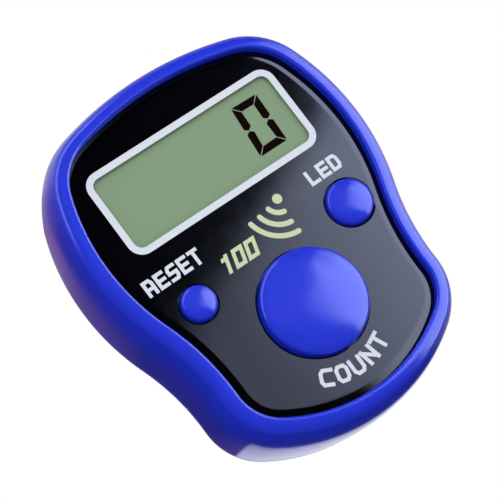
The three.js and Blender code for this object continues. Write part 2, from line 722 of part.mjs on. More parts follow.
// The circuit board follows the housing at the sides and is cut straight at both ends.
function board() {
  const blank = loft([
    [boardOffset, boardBottom],
    [boardOffset, boardTop],
  ]);
  const [low, high] = [boardBottom - THROUGH, boardTop + THROUGH];
  const [footY, headY] = [BOARD_BOTTOM_INSET - topEdge, topEdge - BOARD_TOP_INSET];
  const ends = block(-FACE_WIDTH, footY, low, FACE_WIDTH, headY, high);
  const holes = boardScrews.map(({ x, y }) => pilot(x, y, low, high));
  return cut(blank.intersect(ends), ...holes);
}

function chipOnBoard(x, y, [length, width, height]) {
  return slab(x, y, length, width, partsSeat, partsSeat + height);
}

function boardPieces() {
  piece("circuit_board", board(), boardGreen);
  const blob = quarter(CHIP_RADIUS, partsSeat, partsSeat + CHIP_HEIGHT, SNAP_STEPS);
  piece("chip_blob", turned([[0, partsSeat], ...blob], 0, chipY, SMALL_ROUND), darkPlastic);
  piece("backlight_lamp", chipOnBoard(0, displayY, LAMP_SIZE), milkPlastic);
  const resistorX = CHIP_RADIUS + CHIP_SPACE + RESISTOR_SIZE[0] / 2;
  piece("lamp_resistor", chipOnBoard(resistorX, chipY, RESISTOR_SIZE), darkPlastic);
  const capacitorX = CHIP_RADIUS + CHIP_SPACE + CAPACITOR_SIZE[0] / 2;
  piece("supply_capacitor", chipOnBoard(-capacitorX, chipY, CAPACITOR_SIZE), ceramic);
}

// A button cell, with its narrower cap up or down.
function cell(x, capUp) {
  const height = (rise) => (capUp ? cellBottom + rise : cellTop - rise);
  const capRadius = CELL_CAP_DIAMETER / 2;
  const canHeight = CELL_HEIGHT - CELL_CAP_HEIGHT;
  return turned(
    [
      [0, height(0)],
      [cellRadius - LAY, height(0)],
      [cellRadius, height(LAY)],
      [cellRadius, height(canHeight - LAY)],
      [cellRadius - LAY, height(canHeight)],
      [capRadius, height(canHeight)],
      [capRadius, height(CELL_HEIGHT - LAY)],
      [capRadius - LAY, height(CELL_HEIGHT)],
      [0, height(CELL_HEIGHT)],
    ],
    x,
    cellsY,
    LARGE_ROUND,
  );
}

// A leaf contact: sheet bent along a side view of [x, z] points, wide in Y.
function leaf(points, width) {
  const top = points.map(([x, z]) => new THREE.Vector2(x, z + CONTACT_SHEET));
  const low = points.map(([x, z]) => new THREE.Vector2(x, z)).reverse();
  const shape = new THREE.Shape([...low, ...top]);
  const geometry = new THREE.ExtrudeGeometry(shape, { depth: width, bevelEnabled: false });
  return solidOf(geometry.rotateX(Math.PI / 2).translate(0, cellsY + width / 2, 0));
}

function batteryPieces() {
  piece("battery_cell_left", cell(-cellX, true), steel);
  piece("battery_cell_right", cell(cellX, false), steel);
  const linkLength = 2 * cellX + CONTACT_WIDTH;
  const link = slab(0, cellsY, linkLength, CONTACT_WIDTH, linkBottom, linkBottom + CONTACT_SHEET);
  piece("link_contact", link, steel);
  const solder = boardBottom - LAY - CONTACT_SHEET;
  const touch = cellTop + LAY;
  for (const [name, side] of [["negative_contact", -1], ["positive_contact", 1]]) {
    const bend = [
      [side * (cellX + CONTACT_WIDTH), solder],
      [side * (cellX + CONTACT_WIDTH / 2), solder],
      [side * cellX, touch],
      [side * (cellX - CONTACT_WIDTH / 2), touch],
      [side * (cellX - CONTACT_WIDTH / 2 - CONTACT_CURL), (touch + solder) / 2],
    ];
    piece(name, leaf(bend, CONTACT_WIDTH), steel);
  }
}

// Door hooks reach over the cover's inside face at the far edge from the door screw.
const hookLow = COVER_THICKNESS + LAY;
const hookHigh = hookLow + HOOK_THICKNESS;
const hookInnerY = cellsY + wellRadius - SIDE_FIT - HOOK_THICKNESS;
const hookOuterY = cellsY + doorRadius + HOOK_REACH;

function batteryDoor() {
  const hooks = [-hookX, hookX].flatMap((x) => {
    const [left, right] = [x - HOOK_WIDTH / 2, x + HOOK_WIDTH / 2];
    return [
      block(left, hookInnerY, 0, right, hookInnerY + HOOK_THICKNESS, hookHigh),
      block(left, hookInnerY, hookLow, right, hookOuterY, hookHigh),
    ];
  });
  return cut(
    joined(prism(stadium(doorRadius), 0, doorThickness, STADIUM_STEPS), ...hooks),
    countersink(0, doorScrewY, doorThickness + THROUGH),
  );
}

// One strap loop: a pocket in the cover's back, roofed inside, with an upright bar left across its mouth.
function strapBoxes(side) {
  const x = side * strapBarX;
  const width = 2 * strapReach;
  const roofed = slab(
    x,
    strapBarY,
    width + 2 * STRAP_WALL,
    strapSlotLength + 2 * STRAP_WALL,
    COVER_THICKNESS - LAY,
    STRAP_DEPTH + STRAP_WALL,
  );
  const pocket = slab(x, strapBarY, width, strapSlotLength, -THROUGH, STRAP_DEPTH);
  const bar = slab(x, strapBarY, STRAP_BAR_WIDTH, strapSlotLength + STRAP_WALL, 0, COVER_THICKNESS);
  return { roofed, pocket, bar };
}

function rearCover() {
  const loops = [-1, 1].map(strapBoxes);
  const plate = loft([
    [coverOffset - COVER_EDGE_CHAMFER, 0],
    [coverOffset, COVER_EDGE_CHAMFER],
    [coverOffset, COVER_THICKNESS],
  ]);
  const well = prism(stadium(wellRadius + WELL_WALL), COVER_THICKNESS - LAY, cellTop, STADIUM_STEPS);
  const ring = buzzerPost(COVER_THICKNESS - LAY, ringTop, buzzerRadius);
  const holes = [[0, 0], [1, 0], [-1, 0], [0, 1], [0, -1]].map(([right, up]) =>
    post(
      right * SOUND_HOLE_PITCH,
      buzzerY + up * SOUND_HOLE_PITCH,
      -THROUGH,
      COVER_THICKNESS + THROUGH,
      SOUND_HOLE_RADIUS,
    ),
  );
  const hookSlots = [-hookX, hookX].map((x) => {
    const [left, right] = [x - HOOK_WIDTH / 2 - SIDE_FIT, x + HOOK_WIDTH / 2 + SIDE_FIT];
    return block(left, cellsY, hookLow - LAY, right, hookOuterY + SIDE_FIT, hookHigh + LAY);
  });
  const body = cut(
    joined(plate, well, ring, ...loops.map(({ roofed }) => roofed)),
    prism(stadium(wellRadius), -THROUGH, cellTop + THROUGH, STADIUM_STEPS),
    prism(stadium(doorRadius + SIDE_FIT), -THROUGH, doorThickness + LAY, STADIUM_STEPS),
    buzzerPost(COVER_THICKNESS, ringTop + THROUGH, buzzerRadius - BUZZER_RING_WIDTH),
    ...holes,
    ...hookSlots,
    ...loops.map(({ pocket }) => pocket),
    ...caseScrews.map(({ x, y }) => countersink(x, y, COVER_THICKNESS + THROUGH)),
  );
  const doorBoss = post(0, doorScrewY, doorThickness + LAY, cellTop, DOOR_BOSS_RADIUS);
  return cut(
    joined(body, doorBoss, ...loops.map(({ bar }) => bar)),
    pilot(0, doorScrewY, 0, DOOR_SCREW_LENGTH + 2 * LAY),
  );
}

// Sounder: a brass disc on the cover's ring, its ceramic, and two leads up to the board.
const ringTop = COVER_THICKNESS + BUZZER_RING_HEIGHT;
const discBottom = ringTop + LAY;
const ceramicBottom = discBottom + BUZZER_SHEET + LAY;

function buzzerPost(low, high, radius) {
  return post(0, buzzerY, low, high, radius, radius, LARGE_ROUND);
}

function lead(x, footHeight) {
  const start = footHeight + LAY;
  const end = boardBottom - LAY;
  const third = (end - start) / 3;
  const route = new THREE.CatmullRomCurve3([
    new THREE.Vector3(x, buzzerY, start),
    new THREE.Vector3(x, buzzerY + LEAD_SWAY / 4, start + third),
    new THREE.Vector3(x, buzzerY + LEAD_SWAY * 0.75, end - third),
    new THREE.Vector3(x, buzzerY + LEAD_SWAY, end),
  ]);
  const section = new THREE.Shape();
  section.absarc(0, 0, LEAD_RADIUS, 0, Math.PI * 2);
  const settings = {
    steps: LEAD_STEPS,
    extrudePath: route,
    curveSegments: LEAD_SECTION_STEPS,
    bevelEnabled: false,
  };
  return solidOf(new THREE.ExtrudeGeometry(section, settings));
}

function sounderPieces() {
  const discTop = discBottom + BUZZER_SHEET;
  const ceramicTop = ceramicBottom + BUZZER_SHEET;
  piece("buzzer_disc", buzzerPost(discBottom, discTop, buzzerRadius), brass);
  piece("buzzer_ceramic", buzzerPost(ceramicBottom, ceramicTop, ceramicRadius), ceramic);
  piece("buzzer_lead_ceramic", lead(-ceramicRadius / 2, ceramicTop), wireRed);
  piece("buzzer_lead_disc", lead((ceramicRadius + buzzerRadius) / 2, discTop), darkPlastic);
}

piece("front_housing", frontHousing(), glossyBlue);
piece("face_plate", facePlate(), glossyBlack);
displayPieces();
for (const each of buttons) {
  piece(`${each.name}_button`, button(each), glossyBlue);
  switchPieces(each);
}
boardPieces();
batteryPieces();
sounderPieces();
piece("rear_cover", rearCover(), glossyBlue);
piece("battery_door", batteryDoor(), glossyBlue);
piece("battery_door_screw", screw(0, doorScrewY, LAY, DOOR_SCREW_LENGTH, true), steel);
for (const { name, x, y } of caseScrews) {
  piece(name, screw(x, y, LAY, SCREW_LENGTH, true), steel);
}
for (const { name, x, y } of boardScrews) {
  piece(name, screw(x, y, boardScrewTip - BOARD_SCREW_LENGTH, BOARD_SCREW_LENGTH, false), steel);
}

export default counter;
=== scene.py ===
import json
import math

import bmesh
import bpy
from mathutils import Matrix, Vector
from mathutils.geometry import delaunay_2d_cdt, tessellate_polygon


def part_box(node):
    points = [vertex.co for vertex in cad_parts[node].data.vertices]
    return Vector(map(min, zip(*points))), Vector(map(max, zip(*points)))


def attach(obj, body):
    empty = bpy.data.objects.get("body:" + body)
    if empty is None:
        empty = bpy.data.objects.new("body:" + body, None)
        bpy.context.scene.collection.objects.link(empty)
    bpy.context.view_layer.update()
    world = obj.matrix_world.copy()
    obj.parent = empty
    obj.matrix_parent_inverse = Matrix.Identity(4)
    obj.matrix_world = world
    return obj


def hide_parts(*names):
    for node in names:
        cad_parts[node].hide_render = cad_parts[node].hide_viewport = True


# Digital hand tally counter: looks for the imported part. Lengths are in millimetres and become metres where a
# mesh is made. Only the ceiling light and the upright cards are laid out in metres.
MM = 0.001

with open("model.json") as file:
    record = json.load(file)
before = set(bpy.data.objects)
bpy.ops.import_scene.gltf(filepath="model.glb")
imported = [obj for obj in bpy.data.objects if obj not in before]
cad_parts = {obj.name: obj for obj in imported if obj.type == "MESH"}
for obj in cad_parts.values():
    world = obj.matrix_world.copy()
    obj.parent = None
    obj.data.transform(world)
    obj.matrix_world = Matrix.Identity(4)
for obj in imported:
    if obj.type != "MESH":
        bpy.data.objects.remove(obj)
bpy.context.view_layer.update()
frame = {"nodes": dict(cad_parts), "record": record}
NODES = frame["nodes"]

# The face outline of the part's source, but 0.2 wider and moved 0.1 to the right. So the left side stays,
# and the right side reaches 0.2 further, as in the photo.
FACE_LENGTH = 37.8
FACE_WIDTH = 29.85
FACE_SHIFT = 0.1
FOOT_WIDTH = 23.8
WIDEST_Y = 5.75
TOP_RADIUS = 34.7
SHOULDER_RADIUS = 6.0
FLANK_RADIUS = 23.5
WAIST_RADIUS = 26.6
FOOT_RADIUS = 4.8
BOTTOM_RADIUS = 17.8

# The section of the housing, whose rim is lower and rounder than the solid's
RIM_REACH = 2.42
RIM_DROP = 0.3
RIM_CREST_RADIUS = 1.5
RIM_TURN = math.radians(69)
RIM_ROLL_RADIUS = 10.5
RIM_FIT = 0.06
WALL_DRAFT = 0.5
WALL_STEPS = 10
BACK_EDGE_ROUND = 0.3
HOUSING_WALL = 1.4
DECK_THICKNESS = 1.2
COVER_LIP = 0.9
REBATE_TOP = 1.3

# The bevel round the face plate
PLATE_EDGE_WIDTH = 1.1
PLATE_EDGE_ROUND = 0.4
PLATE_EDGE_TILT = math.radians(6)

# Gaps: where a piece lies on another, beside it, and round a button
LAY = 0.1
SIDE_FIT = 0.15
BUTTON_GAP = 0.25

# The display: the window's corner radius, the glass that the deck's opening takes, and the film: how far it
# lies under the face, how much smaller than the window it is, and its thickness
WINDOW_CORNER = 1.3
GLASS_WIDTH = 23.4
GLASS_HEIGHT = 10.8
GLASS_CORNER = 0.3
FILM_SUNK = 0.4
FILM_FIT = 0.1
FILM_DEPTH = 0.1

# The caps: how far each side stands straight over the plate, and how full its dome is, where 2 is an ellipse
CAPS = {"count": (0.8, 2.2), "led": (0.15, 2.6), "reset": (0.15, 2.6)}
CAP_WALL = 1.0
FLANGE_WIDTH = 0.7
FLANGE_THICKNESS = 0.8
DOME_STEPS = 36


def low(node):
    """The lowest corner of a node."""
    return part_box(node)[0] / MM


def high(node):
    """The highest corner of a node."""
    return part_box(node)[1] / MM


RIM_TOP = high("front_housing").z - RIM_DROP
PLATE_TOP = high("face_plate").z
PLATE_BOTTOM = low("face_plate").z
DECK_TOP = PLATE_BOTTOM - LAY
DECK_BOTTOM = DECK_TOP - DECK_THICKNESS
FILM_TOP = PLATE_TOP - FILM_SUNK
WINDOW_MIDDLE = (low("display_window") + high("display_window")) / 2
WINDOW_SIZE = high("display_window") - low("display_window")


# Outline

def below(centre, x, distance):
    """The place at x that lies the given distance from the centre, on its lower side."""
    return Vector((x, centre.y - math.sqrt(distance**2 - (x - centre.x) ** 2)))


def bearing(start, end):
    """The direction from start to end, in radians."""
    return math.atan2(end.y - start.y, end.x - start.x)


def face_arcs(offset):
    """The right half of the outline, moved out by offset, as (centre, radius, from, to, steps)."""
    top = Vector((0, FACE_LENGTH / 2 - TOP_RADIUS))
    flank = Vector((FACE_WIDTH / 2 - FLANK_RADIUS, WIDEST_Y))
    first = TOP_RADIUS - SHOULDER_RADIUS
    second = FLANK_RADIUS - SHOULDER_RADIUS
    apart = (flank - top).length
    unit = (flank - top) / apart
    reach = (first**2 - second**2 + apart**2) / (2 * apart)
    shoulder = top + unit * reach + Vector((unit.y, -unit.x)) * math.sqrt(first**2 - reach**2)
    waist = below(flank, FOOT_WIDTH / 2 + WAIST_RADIUS, FLANK_RADIUS + WAIST_RADIUS)
    bottom = Vector((0, BOTTOM_RADIUS - FACE_LENGTH / 2))
    foot = below(bottom, FOOT_WIDTH / 2 - FOOT_RADIUS, BOTTOM_RADIUS - FOOT_RADIUS)
    to_shoulder, to_flank = bearing(top, shoulder), bearing(flank, shoulder)
    to_waist, to_foot = bearing(flank, waist), bearing(bottom, foot)
    return [
        (top, TOP_RADIUS + offset, math.pi / 2, to_shoulder, 20),
        (shoulder, SHOULDER_RADIUS + offset, to_shoulder, to_flank, 26),
        (flank, FLANK_RADIUS + offset, to_flank, to_waist, 30),
        (waist, WAIST_RADIUS - offset, to_waist + math.pi, math.pi, 22),
        (foot, FOOT_RADIUS + offset, 0.0, to_foot, 24),
        (bottom, BOTTOM_RADIUS + offset, to_foot, -math.pi / 2, 20),
    ]


FOOT_ARC = 4


def face_ring(offset):
    """The whole outline as points, clockwise from the top centre. Each arc starts where the last one ends.
    Only the foot's follows a straight, so its first point counts too."""
    right = []
    for index, (centre, radius, start, end, steps) in enumerate(face_arcs(offset)):
        for i in range(0 if index == FOOT_ARC else 1, steps + 1):
            angle = start + (end - start) * i / steps
            right.append((centre.x + radius * math.cos(angle), centre.y + radius * math.sin(angle)))
    left = [(-x, y) for x, y in reversed(right[:-1])]
    return [(x + FACE_SHIFT, y) for x, y in [(0.0, FACE_LENGTH / 2 + offset)] + right + left]


def circle_ring(x, y, radius, steps=72):
    """A circle as points, clockwise."""
    angles = [-2 * math.pi * i / steps for i in range(steps)]
    return [(x + radius * math.cos(a), y + radius * math.sin(a)) for a in angles]


def rectangle_ring(width, height, radius, steps=10):
    """A rectangle with round corners about the middle of the display, as points, clockwise."""
    ring = []
    for quarter, (sx, sy) in enumerate([(1, 1), (1, -1), (-1, -1), (-1, 1)]):
        start = math.pi / 2 - quarter * math.pi / 2
        cx = WINDOW_MIDDLE.x + sx * (width / 2 - radius)
        cy = WINDOW_MIDDLE.y + sy * (height / 2 - radius)
        for i in range(steps + 1):
            angle = start - math.pi / 2 * i / steps
            ring.append((cx + radius * math.cos(angle), cy + radius * math.sin(angle)))
    return ring


# Meshes

def add(name, data):
    """A new object in the scene."""
    made = bpy.data.objects.new(name, data)
    bpy.context.scene.collection.objects.link(made)
    return made


class Solid:
    """Collects rings and faces in millimetres and turns them into an object in metres."""

    def __init__(self):
        self.mesh = bmesh.new()

    def ring(self, points, z):
        return [self.mesh.verts.new((x * MM, y * MM, z * MM)) for x, y in points]

    def band(self, first, second):
        """Quads between two rings of the same length."""
        count = len(first)
        for i in range(count):
            j = (i + 1) % count
            self.mesh.faces.new((first[i], first[j], second[j], second[i]))

    def bands(self, rings):
        for first, second in zip(rings, rings[1:]):
            self.band(first, second)

    def cap(self, outer, holes=()):
        """A flat face inside one ring, less the holes."""
        loops = [outer, *holes]
        flat = [vert for loop in loops for vert in loop]
        corners = [[Vector((v.co.x, v.co.y, 0)) / MM for v in loop] for loop in loops]
        for a, b, c in tessellate_polygon(corners):
            if len({a, b, c}) == 3:
                self.mesh.faces.new((flat[a], flat[b], flat[c]))

    def finish(self, name, sharp=35):
        """The object, with its faces turned outwards and its edges sharp from the given angle in degrees."""
        bmesh.ops.recalc_face_normals(self.mesh, faces=self.mesh.faces)
        data = bpy.data.meshes.new(name)
        self.mesh.to_mesh(data)
        self.mesh.free()
        for face in data.polygons:
            face.use_smooth = True
        data.set_sharp_from_angle(angle=math.radians(sharp))
        return add(name, data)


def section_arc(centre, radius, start, end, steps):
    """Points of an arc in a section through the edge, as (offset, height), without its first one. The angle
    is nought straight up and grows outwards."""
    angles = [start + (end - start) * i / steps for i in range(1, steps + 1)]
    return [(centre[0] + radius * math.sin(a), centre[1] + radius * math.cos(a)) for a in angles]


def cap_circle(name):
    """The place and radius of a cap. Its node is widest at the flange."""
    lowest, highest = low(name + "_button"), high(name + "_button")
    middle = (lowest + highest) / 2
    return middle.x, middle.y, (highest.x - lowest.x) / 2 - FLANGE_WIDTH


def button_holes(solid, z):
    """The rims of the holes round the three caps at one height."""
    rings = []
    for name in CAPS:
        x, y, radius = cap_circle(name)
        rings.append(solid.ring(circle_ring(x, y, radius + BUTTON_GAP), z))
    return rings


def build_housing():
    """One moulding: drafted wall, rolled rim, pocket for the plate, deck, hollow inside and cover rebate."""
    wall_back = RIM_REACH - WALL_DRAFT
    roll_middle = RIM_REACH - RIM_ROLL_RADIUS
    inside_roll = RIM_ROLL_RADIUS - RIM_CREST_RADIUS
    crest_middle = roll_middle + inside_roll * math.sin(RIM_TURN)
    crest_height = RIM_TOP - RIM_CREST_RADIUS
    roll_height = crest_height - inside_roll * math.cos(RIM_TURN)
    inner_radius = crest_middle - RIM_FIT
    inner_height = RIM_TOP - inner_radius
    back_edge = (wall_back - BACK_EDGE_ROUND, BACK_EDGE_ROUND)
    profile = [(wall_back - BACK_EDGE_ROUND, 0)]
    profile += section_arc(back_edge, BACK_EDGE_ROUND, math.pi, math.pi / 2, steps=6)
    for i in range(1, WALL_STEPS + 1):
        share = i / WALL_STEPS
        height = BACK_EDGE_ROUND + (roll_height - BACK_EDGE_ROUND) * share
        profile.append((wall_back + WALL_DRAFT * math.sin(share * math.pi / 2), height))
    profile += section_arc((roll_middle, roll_height), RIM_ROLL_RADIUS, math.pi / 2, RIM_TURN, steps=12)
    profile += section_arc((crest_middle, crest_height), RIM_CREST_RADIUS, RIM_TURN, 0, steps=20)
    profile += section_arc((crest_middle, inner_height), inner_radius, 0, -math.pi / 2, steps=14)
    profile.append((RIM_FIT, DECK_TOP))
    solid = Solid()
    outer = [solid.ring(face_ring(offset), z) for offset, z in profile]
    solid.bands(outer)
    cavity = wall_back - HOUSING_WALL
    rebate = wall_back - COVER_LIP
    hollow = [(cavity, DECK_BOTTOM), (cavity, REBATE_TOP), (rebate, REBATE_TOP), (rebate, 0)]
    inner = [solid.ring(face_ring(offset), z) for offset, z in hollow]
    solid.bands(inner)
    solid.band(inner[-1], outer[0])
    glass = rectangle_ring(GLASS_WIDTH + 2 * SIDE_FIT, GLASS_HEIGHT + 2 * SIDE_FIT, GLASS_CORNER, steps=2)
    upper = button_holes(solid, DECK_TOP) + [solid.ring(glass, DECK_TOP)]
    lower = button_holes(solid, DECK_BOTTOM) + [solid.ring(glass, DECK_BOTTOM)]
    for first, second in zip(upper, lower):
        solid.band(first, second)
    solid.cap(outer[-1], upper)
    solid.cap(inner[0], lower)
    return solid.finish("housing_shell")


def build_plate():
    """The face plate: a shallow bevel round its edge, with the display opening and three button holes."""
    solid = Solid()
    radius = PLATE_EDGE_ROUND / math.sin(PLATE_EDGE_TILT)
    round_drop = radius * (1 - math.cos(PLATE_EDGE_TILT))
    edge_drop = round_drop + (PLATE_EDGE_WIDTH - PLATE_EDGE_ROUND) * math.tan(PLATE_EDGE_TILT)
    levels = [
        (0.0, PLATE_BOTTOM),
        (0.0, PLATE_TOP - edge_drop),
        (PLATE_EDGE_ROUND - PLATE_EDGE_WIDTH, PLATE_TOP - round_drop),
    ]
    levels += section_arc((-PLATE_EDGE_WIDTH, PLATE_TOP - radius), radius, PLATE_EDGE_TILT, 0, steps=8)
    rings = [solid.ring(face_ring(offset), z) for offset, z in levels]
    solid.bands(rings)
    window = rectangle_ring(WINDOW_SIZE.x + 2 * SIDE_FIT, WINDOW_SIZE.y + 2 * SIDE_FIT, WINDOW_CORNER)
    upper = button_holes(solid, PLATE_TOP) + [solid.ring(window, PLATE_TOP)]
    lower = button_holes(solid, PLATE_BOTTOM) + [solid.ring(window, PLATE_BOTTOM)]
    for first, second in zip(upper, lower):
        solid.band(first, second)
    solid.cap(rings[-1], upper)
    solid.cap(rings[0], lower)
    return solid.finish("plate_panel")


def build_button(name):
    """A cap: a flange that the deck holds down, a straight side and a full dome."""
    side, fullness = CAPS[name]
    x, y, radius = cap_circle(name)
    foot, top = low(name + "_button").z, high(name + "_button").z
    side_top = PLATE_TOP + side
    flange = radius + FLANGE_WIDTH
    flange_top = foot + FLANGE_THICKNESS
    profile = [(radius - CAP_WALL, foot), (flange, foot), (flange, flange_top), (radius, flange_top)]
    power = 2 / fullness
    for i in range(DOME_STEPS):
        angle = math.pi / 2 * i / DOME_STEPS
        height = side_top + (top - side_top) * math.sin(angle) ** power
        profile.append((radius * math.cos(angle) ** power, height))
    solid = Solid()
    rings = [solid.ring(circle_ring(x, y, reach, steps=96), z) for reach, z in profile]
    solid.bands(rings)
    solid.cap(rings[0])
    solid.cap(rings[-1])
    return solid.finish(name + "_cap", sharp=50)


# Prints

PRINT_LIFT = 0.01
PRINT_DEPTH = 0.015
DIGIT_DEPTH = 0.01

# The union of shapes keeps only what lies inside one of them, and joins places that are this close
ONLY_INSIDE = 1
SAME_PLACE = 1e-5


def signed_area(ring):
    """The area inside a ring, above nought where it runs anticlockwise."""
    return sum(x0 * y1 - x1 * y0 for (x0, y0), (x1, y1) in zip(ring, ring[1:] + ring[:1])) / 2


def sheet(name, shapes, z, depth=PRINT_DEPTH):
    """Flat print of even thickness: the union of shapes that may touch or overlap."""
    places, faces = [], []
    for shape in shapes:
        turned = shape if signed_area(shape) > 0 else shape[::-1]
        faces.append(list(range(len(places), len(places) + len(turned))))
        places += [Vector(place) for place in turned]
    joined, _, found, _, _, sources = delaunay_2d_cdt(places, [], faces, ONLY_INSIDE, SAME_PLACE)
    triangles = [triangle for triangle, source in zip(found, sources) if source]
    solid = Solid()
    upper, lower = solid.ring(joined, z + depth), solid.ring(joined, z)
    sides = {(tri[i - 1], tri[i]) for tri in triangles for i in range(3)}
    for tri in triangles:
        solid.mesh.faces.new([upper[i] for i in tri])
        solid.mesh.faces.new([lower[i] for i in reversed(tri)])
    for a, b in sorted(sides):
        if (b, a) not in sides:
            solid.mesh.faces.new((upper[b], upper[a], lower[a], lower[b]))
    return solid.finish(name)


def between(outer, inner):
    """The band between two rings of the same length, as four-cornered pieces."""
    count = len(outer)
    return [[outer[i], outer[(i + 1) % count], inner[(i + 1) % count], inner[i]] for i in range(count)]


# The cosine of half a corner's turn at which its mitre stops growing
SHARPEST_MITRE = 0.3


def stroke(points, width, closed=False, overrun=0.0):
    """A line of even width with mitred corners, as one four-cornered piece for each straight. An open
    line's ends run on by the overrun."""
    points = [Vector(point) for point in points]
    count = len(points)
    if not closed:
        points[0] += (points[0] - points[1]).normalized() * overrun
        points[-1] += (points[-1] - points[-2]).normalized() * overrun
    left, right = [], []
    for i, point in enumerate(points):
        ways = []
        if closed or i > 0:
            ways.append((point - points[i - 1]).normalized())
        if closed or i < count - 1:
            ways.append((points[(i + 1) % count] - point).normalized())
        normals = [Vector((-way.y, way.x)) for way in ways]
        across = sum(normals, Vector((0, 0))).normalized()
        reach = width / 2 / max(SHARPEST_MITRE, across.dot(normals[0]))
        left.append(tuple(point + across * reach))
        right.append(tuple(point - across * reach))
    pieces = between(left, right)
    return pieces if closed else pieces[:-1]


def placed(loop, origin, angle, slant=0.0):
    """A loop moved from a letter's own frame to the face, leaning by slant and turned by angle."""
    cos, sin = math.cos(math.radians(angle)), math.sin(math.radians(angle))
    leaning = [(x + y * slant, y) for x, y in loop]
    return [(origin[0] + x * cos - y * sin, origin[1] + x * sin + y * cos) for x, y in leaning]


# Letters as strokes in a cell of width 1 and height 1. Round letters have cut corners, as on stencilled
# control labels, and the figures have square ones.
CUT = 0.22
BOX = [(CUT, 0), (0, CUT), (0, 1 - CUT), (CUT, 1), (1 - CUT, 1), (1, 1 - CUT), (1, CUT), (1 - CUT, 0)]
BLOCK = [(0, 0), (0, 1), (1, 1), (1, 0)]

# Each letter has lists of stroke points, and whether the stroke is closed
LETTERS = {
    "R": [([(0, 0), (0, 1), (1 - CUT, 1), (1, 1 - CUT), (1, 0)], False), ([(0, 0.4), (1, 0.4)], False)],
    "E": [([(1, 1), (0, 1), (0, 0), (1, 0)], False), ([(0, 0.5), (0.95, 0.5)], False)],
    "S": [([(1, 1), (CUT, 1), (0, 1 - CUT), (0, 0.5), (1, 0.5), (1, CUT), (1 - CUT, 0), (0, 0)], False)],
    "T": [([(0, 1), (1, 1)], False), ([(0.5, 1), (0.5, 0)], False)],
    "L": [([(0, 1), (0, 0), (1, 0)], False)],
    "D": [([(0, 0), (0, 1), (1 - CUT, 1), (1, 1 - CUT), (1, CUT), (1 - CUT, 0)], True)],
    "C": [([(1, 1), (CUT, 1), (0, 1 - CUT), (0, CUT), (CUT, 0), (1, 0)], False)],
    "O": [(BOX, True)],
    "U": [([(0, 1), (0, CUT), (CUT, 0), (1 - CUT, 0), (1, CUT), (1, 1)], False)],
    "N": [([(0, 0), (0, 1)], False), ([(1, 0), (1, 1)], False), ([(0, 0.95), (1, 0.05)], False)],
    "1": [([(0.25, 0.86), (0.7, 0.86)], False), ([(0.7, 1), (0.7, 0)], False)],
    "0": [(BLOCK, True)],
}


def letter_shapes(character, width, height, weight):
    """A letter's strokes, with their outer edges on a box of the given width and height."""
    inner_width, inner_height = width - weight, height - weight
    shapes = []
    for points, closed in LETTERS[character]:
        places = [(weight / 2 + x * inner_width, weight / 2 + y * inner_height) for x, y in points]
        shapes += stroke(places, weight, closed, overrun=weight / 2)
    return shapes


def word(name, text, start, end, height, weight, gap, slant=0.0):
    """Letters set in a straight line from start to end, both at the foot of the letters."""
    way = Vector(end) - Vector(start)
    angle = math.degrees(math.atan2(way.y, way.x))
    width = (way.length - gap * (len(text) - 1)) / len(text)
    shapes = []
    for i, character in enumerate(text):
        origin = Vector(start) + way.normalized() * i * (width + gap)
        for shape in letter_shapes(character, width, height, weight):
            shapes.append(placed(shape, origin, angle, slant))
    return sheet(name, shapes, PLATE_TOP + PRINT_LIFT)


def arc_word(name, text, centre, radius, first, last, size, weight):
    """Letters with their middles on an arc, from bearing first to last, and their feet pointing outwards."""
    width, height = size
    shapes = []
    for i, character in enumerate(text):
        turn = first + (last - first) * i / (len(text) - 1) + 90
        right = Vector((math.cos(math.radians(turn)), math.sin(math.radians(turn))))
        up = Vector((-right.y, right.x))
        origin = Vector(centre) - up * (radius + height / 2) - right * width / 2
        for shape in letter_shapes(character, width, height, weight):
            shapes.append(placed(shape, origin, turn))
    return sheet(name, shapes, PLATE_TOP + PRINT_LIFT)


def arc_stroke(centre, radius, start, end, width, steps=24):
    """An arc of even width with round ends, bearings in degrees."""
    bearings = [math.radians(start + (end - start) * i / steps) for i in range(steps + 1)]
    points = [(centre[0] + radius * math.cos(a), centre[1] + radius * math.sin(a)) for a in bearings]
    ends = [circle_ring(*point, width / 2, steps=20) for point in (points[0], points[-1])]
    return stroke(points, width) + ends


# The sound symbol: its dot, and the reach and the first and last bearing of each arc
SOUND_DOT = (3.87, 2.32)
SOUND_DOT_RADIUS = 0.53
SOUND_ARCS = [(1.47, 195, 262), (2.74, 192, 265), (3.95, 190, 267)]
SOUND_WEIGHT = 0.55


def build_symbol():
    waves = [circle_ring(*SOUND_DOT, SOUND_DOT_RADIUS, steps=40)]
    for reach, start, end in SOUND_ARCS:
        waves += arc_stroke(SOUND_DOT, reach, start, end, SOUND_WEIGHT)
    return sheet("sound_symbol", waves, PLATE_TOP + PRINT_LIFT)


# The white border of the display: width, height and corner radius of its outer and inner edge
BORDER_OUTER = (23.5, 9.95, 1.65)
BORDER_INNER = (22.05, 8.5, 0.95)


def build_border():
    border = between(rectangle_ring(*BORDER_OUTER), rectangle_ring(*BORDER_INNER))
    return sheet("display_border", border, PLATE_TOP + PRINT_LIFT)


# The display's zero: its outer corners clockwise from the top left, the weight and the gaps of its bars, and
# how far the upright bars stay from the middle of their side, at its outer edge, tip and inner edge
DIGIT_CORNERS = [(5.90, 12.84), (9.10, 12.76), (8.80, 6.95), (5.36, 6.95)]
DIGIT_WEIGHT = 0.87
DIGIT_GAP = 0.06
DIGIT_CORNER_GAP = 0.09
DIGIT_OUTER_STOP = 0.32
DIGIT_TIP_STOP = 0.05
DIGIT_INNER_STOP = 0.36


